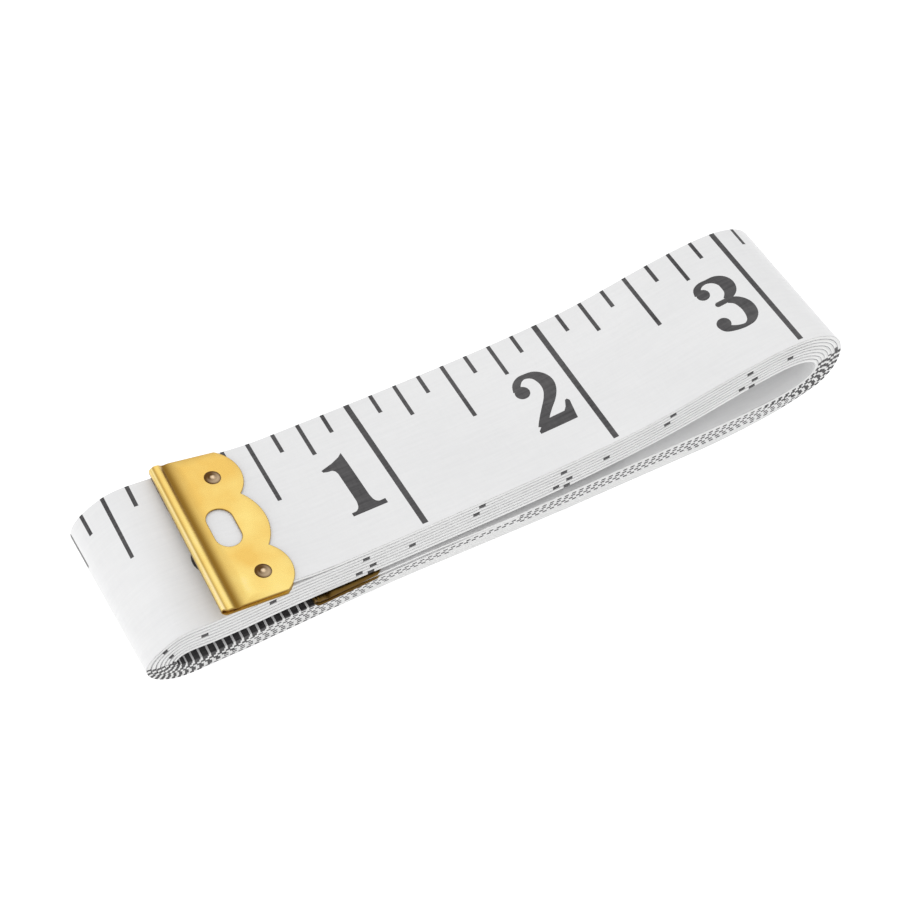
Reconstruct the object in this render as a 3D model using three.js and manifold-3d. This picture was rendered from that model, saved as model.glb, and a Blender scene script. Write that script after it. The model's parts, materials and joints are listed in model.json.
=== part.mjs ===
// Tailor's tape measure: a flat printed strip with a folded brass tip at each end, wound into a flat oblong roll.
// Millimetres. +X along the roll, +Y across the strip, +Z up. The roll rests on z = 0.
import * as THREE from "three";
import Module from "manifold-3d";

// ---- driving dimensions -------------------------------------------------
const TAPE_WIDTH = 20.0; // strip width
const PLY_FACE = 0.13; // outer vinyl ply
const PLY_CORE = 0.06; // glass-fibre ply
const PLY_BACK = 0.13; // inner vinyl ply
const PLY_GAP = 0.02; // clearance drawn between plies
const CORE_INSET = 0.35; // the core stops this far short of each slit edge
const TAPE_THICK = PLY_FACE + PLY_CORE + PLY_BACK + 2 * PLY_GAP;
const TURNS = 8; // layers lying between the outer loop and the middle hollow
const STEP_FROM = 0.855; // part of a turn after which a layer steps inward by one pitch
const STEP_TO = 0.995;
const SKEW_PER_TURN = -0.05; // each inner turn stands this far out to the near side
const FREE_CUTS = [18, 36, 54, 72]; // lengths from the outer tip at which the free end bends
const CUT_GAP = 0.3; // slit drawn at each bending line
const TIP_FLAT = 11.5; // straight stretch under each brass tip
const TIP_LIFT = 0.36; // room under the inner tip for its back plate
const LIFT_RUN = 26; // that lift fades out over this length
const TIP_SETTLE = 0.093; // height left over behind the outer tip
const SETTLE_RUN = 16;
const INNER_TIP_X = -26.6; // fold of the inner tip

const BRASS = 0.25; // sheet thickness of a tip
const TIP_WIDTH = 21.5; // across the fold
const TIP_NARROW = 20.9; // across the plate where its scallops begin
const TIP_LENGTH = 9.44; // strip's end to the crown of a scallop
const TIP_SIDE = 7.6; // straight side of a tip
const TIP_NOTCH = 8.06; // notch between two scallops, from the strip's end
const NOTCH_Y = 3.95;
const CROWN_Y = 7.05;
const TIP_CLEAR = 0.04; // brass to vinyl
const TIP_RISE = 1.157; // the outer tip's fold stands this much higher than the layer below carries it
const TIP_ASIDE = -0.65; // the outer tip sits this far to the near side of the strip
const TIP_TURN = 0.018; // and is turned by this angle, in radians
const INNER_ASIDE = 0.55; // the inner tip sits this far to the far side of the strip
const STRIP_IN = 0.25; // the strip stops this far short of the outer fold
const SLOT_A = 4.37; // slot centre from the strip's end
const SLOT_Y = 0;
const SLOT_LONG = 5.55;
const SLOT_WIDE = 3.1;
const RIVET_A = 5.96;
const RIVET_Y = 7.15;
const RIVET_HEAD = 0.92; // head radius
const RIVET_SHANK = 0.6;
const RIVET_CLEAR = 0.03;

// Outer loop and middle hollow of the roll seen from the near side, point against point, clockwise from the outer tip.
const LOOPS = [
  [-37.4, 9.25, -37.2, 5.05], [-31, 8.85, -31, 4.9], [-25, 8.62, -25, 4.8], [-16, 8.52, -16, 4.72],
  [-6, 8.55, -6, 4.75], [4, 8.75, 4, 4.95], [12.7, 9.25, 12.9, 5.6], [19, 10.05, 19.5, 6.5],
  [25.2, 11.4, 25.7, 7.75], [31.2, 12.6, 31.3, 9.0], [36.2, 13.15, 35.6, 9.6], [39.6, 12.85, 37.6, 9.5],
  [42.3, 11.6, 39.1, 9.0], [43.7, 9.7, 39.9, 8.3], [44.05, 7.6, 40.1, 7.45], [43.5, 5.3, 39.7, 6.6],
  [41.9, 3.4, 38.7, 5.75], [39.2, 2.1, 36.9, 5.05], [35.6, 1.1, 34.3, 4.55], [31, 0.4, 30.5, 4.2],
  [25.5, 0, 25.2, 4.0], [17, 0, 17, 3.95], [8, 0, 8, 3.8], [0, 0.12, 0, 3.72],
  [-8, 0.38, -8, 3.72], [-16, 0.6, -16, 3.72], [-23, 0.5, -23, 3.72], [-29.5, 0.2, -29.5, 3.85],
  [-35, 0, -34.8, 3.75], [-41.4, 0, -39.9, 3.5], [-44.6, 0.45, -42.0, 3.62], [-46.9, 1.8, -43.0, 3.92],
  [-48.0, 3.8, -43.4, 4.3], [-48.1, 5.6, -43.45, 4.55], [-47.3, 7.4, -43.0, 4.95], [-45.4, 8.75, -42.1, 5.2],
  [-42.6, 9.4, -40.6, 5.25],
];

// The left bend is racked: its far side stands higher and further out than its near side, and its crown is pressed down.
const RACK_AFTER = 100; // the outer tip's own stretch of the strip lies straight
const RACK_FROM = -27;
const RACK_RUN = 13;
const RACK_RISE = 0.011; // per mm across the strip
const CROWN_FROM = -41;
const CROWN_RUN = 6.5;
const CROWN_DOWN = 0.1;
const CROWN_IN = 0.82;
const CROWN_SKEW = 0.043; // per mm across the strip

// ---- the strip's path ---------------------------------------------------
const PER = LOOPS.length;
const smooth = (t) => { const c = Math.min(1, Math.max(0, t)); return c * c * (3 - 2 * c); };
// point of the spiral's outer surface; k counts loop points from the outer tip
function spiral(k) {
  const turn = Math.floor(k / PER + 1e-9);
  const at = k - turn * PER;
  const i = Math.min(PER - 1, Math.floor(at + 1e-9));
  const a = LOOPS[i];
  const b = LOOPS[(i + 1) % PER];
  const t = at - i;
  const row = a.map((v, j) => v + (b[j] - v) * t);
  const f = (turn + smooth((at / PER - STEP_FROM) / (STEP_TO - STEP_FROM))) / TURNS;
  return [row[0] + (row[2] - row[0]) * f, row[1] + (row[3] - row[1]) * f];
}
// whole spiral as a polyline down to the inner tip
const path = [];
for (let k = 0; k < PER * TURNS; k++) {
  const p = spiral(k);
  if (k > PER * (TURNS - 1) + PER / 2 && p[0] < INNER_TIP_X) {
    const q = path[path.length - 1];
    const t = (INNER_TIP_X - q.x) / (p[0] - q.x);
    path.push({ x: INNER_TIP_X, z: q.z + (p[1] - q.z) * t, k: q.k + t });
    break;
  }
  path.push({ x: p[0], z: p[1], k });
}
let run = 0;
path.forEach((p, i) => {
  if (i) run += Math.hypot(p.x - path[i - 1].x, p.z - path[i - 1].z);
  p.s = run;
});
const LENGTH = run;
function onPath(s) {
  let i = 1;
  while (i < path.length - 1 && path[i].s < s) i++;
  const a = path[i - 1];
  const b = path[i];
  const t = (s - a.s) / (b.s - a.s);
  return { x: a.x + (b.x - a.x) * t, z: a.z + (b.z - a.z) * t, k: a.k + (b.k - a.k) * t, s };
}
// stations: path points, cut lines, and the ends of the two straight stretches
let marks = path.map((p) => ({ ...p }));
const extra = [TIP_FLAT, LENGTH - TIP_FLAT];
for (const c of FREE_CUTS) extra.push(c - CUT_GAP / 2, c + CUT_GAP / 2);
// closer stations round the racked bend
path.forEach((p, i) => {
  const q = path[Math.max(0, i - 1)];
  if (q.s < RACK_AFTER || Math.min(p.x, q.x) > -20) return;
  const n = Math.ceil((p.s - q.s) / 2);
  for (let j = 1; j < n; j++) marks.push(onPath(q.s + ((p.s - q.s) * j) / n));
});
for (const s of extra) marks.push(onPath(s));
marks.sort((a, b) => a.s - b.s);
const isCut = (s) => FREE_CUTS.some((c) => Math.abs(Math.abs(s - c) - CUT_GAP / 2) < 1e-6);
marks = marks.filter((m, i) => {
  if (m.s > 1e-6 && m.s < TIP_FLAT - 1e-6) return false;
  if (m.s > LENGTH - TIP_FLAT + 1e-6 && m.s < LENGTH - 1e-6) return false;
  if (FREE_CUTS.some((c) => Math.abs(m.s - c) < CUT_GAP / 2 - 1e-6)) return false;
  if (isCut(m.s) || extra.includes(m.s)) return true;
  return !FREE_CUTS.some((c) => Math.abs(m.s - c) < 1.2);
});
// lift both tips off the layer below
const liftAt = (s) => TIP_LIFT * (1 - smooth((s - TIP_FLAT) / (LIFT_RUN - TIP_FLAT)));
const settleAt = (s) => TIP_SETTLE * (1 - smooth((s - TIP_FLAT) / (SETTLE_RUN - TIP_FLAT)));
marks.forEach((m) => {
  m.z += settleAt(m.s) + liftAt(LENGTH - m.s);
  m.y = (SKEW_PER_TURN * m.k) / PER;
});
marks[0].z += TIP_RISE;
// inward normals with mitre
marks.forEach((m, i) => {
  const a = marks[Math.max(0, i - 1)];
  const b = marks[Math.min(marks.length - 1, i + 1)];
  const d0 = i ? [m.x - a.x, m.z - a.z] : [b.x - m.x, b.z - m.z];
  const d1 = i < marks.length - 1 ? [b.x - m.x, b.z - m.z] : d0;
  const l0 = Math.hypot(...d0);
  const l1 = Math.hypot(...d1);
  const n0 = [d0[1] / l0, -d0[0] / l0];
  const n1 = [d1[1] / l1, -d1[0] / l1];
  const c = 1 + n0[0] * n1[0] + n0[1] * n1[1];
  m.nx = (n0[0] + n1[0]) / c;
  m.nz = (n0[1] + n1[1]) / c;
});

// ---- mesh helpers -------------------------------------------------------
function geometry(points, tris) {
  let volume = 0;
  const v = points.map((p) => new THREE.Vector3(...p));
  for (const [a, b, c] of tris) volume += v[a].dot(new THREE.Vector3().crossVectors(v[b], v[c]));
  const faces = volume < 0 ? tris.map(([a, b, c]) => [a, c, b]) : tris;
  const g = new THREE.BufferGeometry();
  g.setAttribute("position", new THREE.BufferAttribute(new Float32Array(points.flat()), 3));
  g.setIndex(faces.flat());
  g.computeVertexNormals();
  return g;
}
function rack(x, y, z) {
  const t = smooth((RACK_FROM - x) / RACK_RUN);
  const u = smooth((CROWN_FROM - x) / CROWN_RUN);
  return [x + (CROWN_IN - CROWN_SKEW * y) * u, z * (1 + RACK_RISE * y * t - CROWN_DOWN * u)];
}
// closed strip between two depths below the outer surface
function strip(stations, d0, d1, inset) {
  const pts = [];
  const tris = [];
  const quad = (a, b, c, d) => tris.push([a, b, c], [a, c, d]);
  for (const m of stations) {
    for (const d of [d0, d1]) {
      for (const side of [-1, 1]) {
        const y = side * (TAPE_WIDTH / 2 - inset);
        const flat = [m.x + m.nx * d, m.z + m.nz * d];
        const [x, z] = m.s > RACK_AFTER ? rack(flat[0], y, flat[1]) : flat;
        pts.push([x, m.y + y, z]);
      }
    }
  }
  const n = stations.length;
  for (let i = 0; i < n - 1; i++) {
    const a = i * 4;
    const b = a + 4;
    quad(a, a + 1, b + 1, b);
    tris.push([a + 2, b + 3, a + 3], [a + 2, b + 2, b + 3]);
    quad(a + 2, a, b, b + 2);
    quad(a + 1, a + 3, b + 3, b + 1);
  }
  quad(0, 2, 3, 1);
  const e = (n - 1) * 4;
  quad(e, e + 1, e + 3, e + 2);
  return geometry(pts, tris);
}
const vinyl = () => new THREE.MeshStandardMaterial({ color: 0xe9e9ea, roughness: 0.45, metalness: 0 });
const glass = () => new THREE.MeshStandardMaterial({ color: 0xd8ddcf, roughness: 0.7, metalness: 0 });
const brass = () => new THREE.MeshStandardMaterial({ color: 0xd9ac3c, roughness: 0.3, metalness: 1 });
const rivetMetal = () => new THREE.MeshStandardMaterial({ color: 0xc09433, roughness: 0.35, metalness: 1 });
const root = new THREE.Group();
root.name = "tape_measure";
function add(name, geom, material) {
  const mesh = new THREE.Mesh(geom, material);
  mesh.name = name;
  root.add(mesh);
}

// ---- strip lengths ------------------------------------------------------
const bounds = [0, ...FREE_CUTS, LENGTH];
const NAMES = ["end", "length_3", "length_2", "length_1", "roll"];
NAMES.forEach((name, i) => {
  const lo = bounds[i] + (i ? CUT_GAP / 2 : 0) - 1e-6;
  const hi = bounds[i + 1] - (i < NAMES.length - 1 ? CUT_GAP / 2 : 0) + 1e-6;
  const st = marks.filter((m) => m.s >= lo && m.s <= hi);
  if (i === 0) {
    const [p, q] = [st[0], st[1]];
    const t = STRIP_IN / Math.hypot(q.x - p.x, q.z - p.z);
    st[0] = { ...p, x: p.x + (q.x - p.x) * t, z: p.z + (q.z - p.z) * t };
  }
  let d = 0;
  add(`${name}_face`, strip(st, d, d + PLY_FACE, 0), vinyl());
  d += PLY_FACE + PLY_GAP;
  add(`${name}_core`, strip(st, d, d + PLY_CORE, CORE_INSET), glass());
  d += PLY_CORE + PLY_GAP;
  add(`${name}_back`, strip(st, d, d + PLY_BACK, 0), vinyl());
});

// ---- brass tips ---------------------------------------------------------
const wasm = await Module();
wasm.setup();
function toManifold(g) {
  const position = g.getAttribute("position");
  const index = g.getIndex();
  const map = new Map();
  const verts = [];
  const ids = [];
  for (let i = 0; i < position.count; i++) {
    const key = [position.getX(i), position.getY(i), position.getZ(i)].map((v) => Math.round(v * 1e5)).join();
    if (!map.has(key)) {
      map.set(key, verts.length / 3);
      verts.push(position.getX(i), position.getY(i), position.getZ(i));
    }
    ids.push(map.get(key));
  }
  const tri = [];
  const count = index ? index.count : position.count;
  for (let i = 0; i < count; i += 3) {
    const t = [0, 1, 2].map((j) => ids[index ? index.getX(i + j) : i + j]);
    if (t[0] !== t[1] && t[1] !== t[2] && t[0] !== t[2]) tri.push(...t);
  }
  return new wasm.Manifold(new wasm.Mesh({ numProp: 3, vertProperties: new Float32Array(verts), triVerts: new Uint32Array(tri) }));
}
function fromManifold(m) {
  const mesh = m.getMesh();
  const points = [];
  for (let i = 0; i < mesh.vertProperties.length; i += mesh.numProp) points.push(Array.from(mesh.vertProperties.slice(i, i + 3)));
  const tris = [];
  for (let i = 0; i < mesh.triVerts.length; i += 3) tris.push(Array.from(mesh.triVerts.slice(i, i + 3)));
  return { points, tris };
}
// prism over a closed outline in the tip's own plane: a along the strip, y across, n off the strip
function prism(outline, n0, n1) {
  const shape = new THREE.Shape(outline.map(([a, y]) => new THREE.Vector2(a, y)));
  const g = new THREE.ExtrudeGeometry(shape, { depth: n1 - n0, bevelEnabled: false });
  g.translate(0, 0, n0);
  return toManifold(g);
}
function arc(p, q, r, steps) {
  // points on the circle through p, q, r from p to r
  const d = 2 * (p[0] * (q[1] - r[1]) + q[0] * (r[1] - p[1]) + r[0] * (p[1] - q[1]));
  const s = (v) => v[0] * v[0] + v[1] * v[1];
  const cx = (s(p) * (q[1] - r[1]) + s(q) * (r[1] - p[1]) + s(r) * (p[1] - q[1])) / d;
  const cy = (s(p) * (r[0] - q[0]) + s(q) * (p[0] - r[0]) + s(r) * (q[0] - p[0])) / d;
  const rad = Math.hypot(p[0] - cx, p[1] - cy);
  const a0 = Math.atan2(p[1] - cy, p[0] - cx);
  let a1 = Math.atan2(r[1] - cy, r[0] - cx);
  const am = Math.atan2(q[1] - cy, q[0] - cx);
  const wrap = (v) => { let w = v; while (w < 0) w += 2 * Math.PI; return w; };
  const ccw = wrap(am - a0) < wrap(a1 - a0);
  a1 = ccw ? a0 + wrap(a1 - a0) : a0 - wrap(a0 - a1);
  const out = [];
  for (let i = 0; i <= steps; i++) {
    const t = a0 + ((a1 - a0) * i) / steps;
    out.push([cx + rad * Math.cos(t), cy + rad * Math.sin(t)]);
  }
  return out;
}
const W2 = TIP_WIDTH / 2;
const N2 = TIP_NARROW / 2;
const plan = [
  [-2, -W2], [-0.31, -W2],
  ...arc([TIP_SIDE, -N2], [TIP_LENGTH, -CROWN_Y], [TIP_NOTCH, -NOTCH_Y], 9),
  ...arc([TIP_NOTCH, -NOTCH_Y], [TIP_LENGTH, 0], [TIP_NOTCH, NOTCH_Y], 8).slice(1),
  ...arc([TIP_NOTCH, NOTCH_Y], [TIP_LENGTH, CROWN_Y], [TIP_SIDE, N2], 9).slice(1),
  [-0.31, W2], [-2, W2],
];
function ring(a, y, r, steps) {
  const out = [];
  for (let i = 0; i < steps; i++) out.push([a + r * Math.cos((2 * Math.PI * i) / steps), y + r * Math.sin((2 * Math.PI * i) / steps)]);
  return out;
}
function stadium(a, y, long, wide, steps) {
  const r = wide / 2;
  const h = long / 2 - r;
  const out = [];
  for (let i = 0; i <= steps; i++) out.push([a + r * Math.cos((Math.PI * i) / steps), y + h + r * Math.sin((Math.PI * i) / steps)]);
  for (let i = 0; i <= steps; i++) out.push([a - r * Math.cos((Math.PI * i) / steps), y - h - r * Math.sin((Math.PI * i) / steps)]);
  return out;
}
// folded section, a against n: top plate, pressed valley, two ribs, fold round the end of the strip, back plate
const top0 = TIP_CLEAR;
const top1 = TIP_CLEAR + BRASS;
const low0 = -TAPE_THICK - TIP_CLEAR;
const low1 = low0 - BRASS;
const section = [
  [12, top0], [12, top1], [2.45, top1], [1.93, 0.25], [1.47, 0.15], [1.1, 0.26], [0.84, 0.415], [0.56, 0.43], [0.38, 0.385], [0.16, 0.325],
  [-0.02, 0.36], [-0.14, 0.335], [-0.25, 0.22], [-0.31, -0.1], [-0.28, -0.38], [-0.17, -0.57], [0.05, low1], [12, low1],
  [12, low0], [-0.06, low0], [-0.19, low0 + 0.1], [-0.19, top0 - 0.1], [-0.06, top0],
];
function makeTip() {
  const shape = new THREE.Shape(section.map(([a, n]) => new THREE.Vector2(a, n)));
  const g = new THREE.ExtrudeGeometry(shape, { depth: TIP_WIDTH + 4, bevelEnabled: false });
  // section plane (a, n) and sweep to (a, y, n)
  const p = g.getAttribute("position");
  for (let i = 0; i < p.count; i++) {
    const a = p.getX(i);
    const n = p.getY(i);
    const y = p.getZ(i) - W2 - 2;
    p.setXYZ(i, a, -y, n);
  }
  let m = toManifold(g);
  if (m.volume() < 0) throw new Error("tip section faces inward");
  m = m.intersect(prism(plan, -3, 3));
  m = m.subtract(prism(stadium(SLOT_A, SLOT_Y, SLOT_LONG, SLOT_WIDE, 10), -3, 3));
  for (const y of [-RIVET_Y, RIVET_Y]) m = m.subtract(prism(ring(RIVET_A, y, RIVET_SHANK + RIVET_CLEAR, 20), -3, 3));
  return fromManifold(m);
}
// one rivet: dimpled head above, shank through strip and plates, flush below
function makeRivet(y) {
  const under = top1 + 0.02;
  const profile = [
    [0, low1], [RIVET_SHANK, low1], [RIVET_SHANK, under], [RIVET_HEAD, under], [RIVET_HEAD, under + 0.05],
    [RIVET_HEAD - 0.12, under + 0.14], [0.5, under + 0.13], [0.32, under + 0.03], [0, under],
  ];
  const steps = 20;
  const points = [];
  const tris = [];
  const rows = profile.map(([r, n]) => {
    const start = points.length;
    if (r === 0) { points.push([RIVET_A, y, n]); return [start]; }
    ring(RIVET_A, y, r, steps).forEach(([a, yy]) => points.push([a, yy, n]));
    return Array.from({ length: steps }, (_, i) => start + i);
  });
  for (let i = 0; i < rows.length - 1; i++) {
    const [p, q] = [rows[i], rows[i + 1]];
    for (let j = 0; j < steps; j++) {
      const k = (j + 1) % steps;
      if (p.length === 1) tris.push([p[0], q[k], q[j]]);
      else if (q.length === 1) tris.push([p[j], p[k], q[0]]);
      else tris.push([p[j], p[k], q[k]], [p[j], q[k], q[j]]);
    }
  }
  return { points, tris };
}
// place a tip: origin at the strip's end on its upper face, a along the strip, n upward off it
function place(shape, from, toward, upper) {
  const [aside, turn] = upper ? [INNER_ASIDE, 0] : [TIP_ASIDE, TIP_TURN];
  const dx = toward.x - from.x;
  const dz = toward.z - from.z;
  const l = Math.hypot(dx, dz);
  const A = [dx / l, dz / l];
  const N = [-A[1], A[0]];
  const up = N[1] > 0 ? N : [-N[0], -N[1]];
  const ox = from.x + from.nx * upper;
  const oz = from.z + from.nz * upper;
  const yMid = (from.y + toward.y) / 2;
  const points = shape.points.map(([p, q, n]) => {
    const a = p + turn * q;
    return [ox + A[0] * a + up[0] * n, yMid + q - turn * p + aside, oz + A[1] * a + up[1] * n];
  });
  return geometry(points, shape.tris);
}
// the strip is pierced for the rivet shanks
function pierce(name, from, toward, upper) {
  const mesh = root.children.find((c) => c.name === name);
  let m = toManifold(mesh.geometry);
  for (const y of [-RIVET_Y, RIVET_Y]) {
    const raw = prismRaw(ring(RIVET_A, y, RIVET_SHANK + RIVET_CLEAR, 20), -3, 3);
    m = m.subtract(toManifold(place(raw, from, toward, upper)));
  }
  const out = fromManifold(m);
  mesh.geometry = geometry(out.points, out.tris);
}
function prismRaw(outline, n0, n1) {
  return fromManifold(prism(outline, n0, n1));
}
const tip = makeTip();
const first = marks[0];
const second = marks[1];
const last = marks[marks.length - 1];
const before = marks[marks.length - 2];
for (const [owner, label, from, toward, upper] of [
  ["end", "outer", first, second, 0],
  ["roll", "inner", last, before, TAPE_THICK],
]) {
  for (const ply of ["face", "core", "back"]) pierceShort(`${owner}_${ply}`, from, toward, upper);
  add(`${label}_tip`, place(tip, from, toward, upper), brass());
  add(`${label}_rivet_near`, place(makeRivet(-RIVET_Y), from, toward, upper), rivetMetal());
  add(`${label}_rivet_far`, place(makeRivet(RIVET_Y), from, toward, upper), rivetMetal());
}
// holes are cut only through the plies of the straight stretch that the tip holds
function pierceShort(name, from, toward, upper) {
  if (!name.startsWith("roll")) { pierce(name, from, toward, upper); return; }
  const mesh = root.children.find((c) => c.name === name);
  let m = toManifold(mesh.geometry);
  for (const y of [-RIVET_Y, RIVET_Y]) {
    const raw = prismRaw(ring(RIVET_A, y, RIVET_SHANK + RIVET_CLEAR, 20), low0 + 0.01, top0 - 0.01);
    m = m.subtract(toManifold(place(raw, from, toward, upper)));
  }
  const out = fromManifold(m);
  mesh.geometry = geometry(out.points, out.tris);
}
// origin under the middle of the bounding box
const box = new THREE.Box3();
for (const mesh of root.children) box.union(new THREE.Box3().setFromBufferAttribute(mesh.geometry.getAttribute("position")));
const middle = box.getCenter(new THREE.Vector3());
for (const mesh of root.children) mesh.geometry.translate(-middle.x, -middle.y, -box.min.z);
export default root;
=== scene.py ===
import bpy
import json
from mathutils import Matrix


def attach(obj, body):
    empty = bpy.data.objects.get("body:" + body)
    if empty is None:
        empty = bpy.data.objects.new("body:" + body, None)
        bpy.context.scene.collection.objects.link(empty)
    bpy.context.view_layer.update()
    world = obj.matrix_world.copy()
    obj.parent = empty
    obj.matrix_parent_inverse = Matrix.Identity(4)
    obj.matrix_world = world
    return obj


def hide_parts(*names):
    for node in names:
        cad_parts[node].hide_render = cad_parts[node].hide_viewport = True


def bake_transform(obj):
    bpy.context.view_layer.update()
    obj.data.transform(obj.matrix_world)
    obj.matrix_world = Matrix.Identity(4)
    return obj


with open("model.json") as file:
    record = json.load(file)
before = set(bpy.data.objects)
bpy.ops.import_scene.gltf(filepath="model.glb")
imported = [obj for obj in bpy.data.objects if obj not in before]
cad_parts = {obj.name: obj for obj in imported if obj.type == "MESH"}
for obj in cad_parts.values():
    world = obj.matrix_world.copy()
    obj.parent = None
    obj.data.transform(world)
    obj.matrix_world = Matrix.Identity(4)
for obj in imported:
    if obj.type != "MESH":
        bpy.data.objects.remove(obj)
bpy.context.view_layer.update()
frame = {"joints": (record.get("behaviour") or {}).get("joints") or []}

import json
import math

import bpy
import numpy as np
from mathutils import Matrix, Vector
from mathutils.geometry import delaunay_2d_cdt

MM = 0.001

# ------------------------------------------------------------------ dimensions, mm
WIDTH = 20.0
THICK = 0.38
EDGE = 0.03          # rounding of the slit edges
CORE_TOP, CORE_LOW, CORE_IN = 0.115, 0.20, 0.03   # glass yarn layer seen in the slit edge
TURNS = 8
STEP_FROM, STEP_TO = 0.855, 0.995
SKEW = -0.05
TIP_FLAT, TIP_LIFT, LIFT_RUN = 11.5, 0.36, 26.0
INNER_TIP_X = -26.6
SHIFT_X, SHIFT_Y = 1.7800937, 0.2402126
STRIP_IN = 0.25      # the strip stops this far short of the outer fold
RIVET_A, RIVET_Y = 5.96, 7.15
TIP_ASIDE, TIP_TURN = -0.47, 0.018   # the outer tip sits to the near side and is turned a little
TIP_ALONG = 0.18     # its fold lies this far back from the end of the scale
FAR_OUT = 0.26       # a tip is this much wider to the far side
INNER_ASIDE = 0.25   # the inner tip sits to the far side
TIP_TOP, TIP_HELD, SETTLE = 10.5, 9.5, 0.28   # height of the strip's end, length that the tip holds straight, height left there
RACK_AFTER = 100.0
ZERO = -0.62         # zero of both scales, at the bead of the outer tip
INCH = 25.4
CUTS = [28.8, 41.8, 64.8, 80.8]   # ends of the free lengths
PLAIN_END = 97.0     # the back carries no marks on this last stretch

# Outer loop and middle hollow of the roll: x, height of the one, x, height of the other.
LOOPS = np.array([
    [-37.4, 9.25, -37.2, 5.05], [-31, 8.85, -31, 4.9], [-25, 8.62, -25, 4.8], [-16, 8.52, -16, 4.72],
    [-6, 8.55, -6, 4.75], [4, 8.75, 4, 4.95], [12.7, 9.25, 12.9, 5.6], [19, 10.05, 19.5, 6.5],
    [25.2, 11.4, 25.7, 7.75], [31.2, 12.6, 31.3, 9.0], [36.2, 13.15, 35.6, 9.6], [39.6, 12.85, 37.6, 9.5],
    [42.3, 11.6, 39.1, 9.0], [43.7, 9.7, 39.9, 8.3], [44.05, 7.6, 40.1, 7.45], [43.5, 5.3, 39.7, 6.6],
    [41.9, 3.4, 38.7, 5.75], [39.2, 2.1, 36.9, 5.05], [35.6, 1.1, 34.3, 4.55], [31, 0.4, 30.5, 4.2],
    [25.5, 0, 25.2, 4.0], [17, 0, 17, 3.95], [8, 0, 8, 3.8], [0, 0.12, 0, 3.72],
    [-8, 0.38, -8, 3.72], [-16, 0.6, -16, 3.72], [-23, 0.5, -23, 3.72], [-29.5, 0.2, -29.5, 3.85],
    [-35, 0, -34.8, 3.75], [-41.4, 0, -39.9, 3.5], [-44.6, 0.45, -42.0, 3.62], [-46.9, 1.8, -43.0, 3.92],
    [-48.0, 3.8, -43.4, 4.3], [-48.1, 5.6, -43.45, 4.55], [-47.3, 7.4, -43.0, 4.95], [-45.4, 8.75, -42.1, 5.2],
    [-42.6, 9.4, -40.6, 5.25]])
PER = len(LOOPS)


def smooth(t):
    c = np.clip(t, 0, 1)
    return c * c * (3 - 2 * c)


# ------------------------------------------------------------------ the strip's path
def spline(knots, points, period):
    n = len(knots)
    h = np.diff(np.append(knots, period))
    a, r = np.zeros((n, n)), np.zeros((n, points.shape[1]))
    for i in range(n):
        a[i, i - 1] += h[i - 1]
        a[i, i] += 2 * (h[i - 1] + h[i])
        a[i, (i + 1) % n] += h[i]
        r[i] = 6 * ((points[(i + 1) % n] - points[i]) / h[i] - (points[i] - points[i - 1]) / h[i - 1])
    return np.linalg.solve(a, r), h


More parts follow.
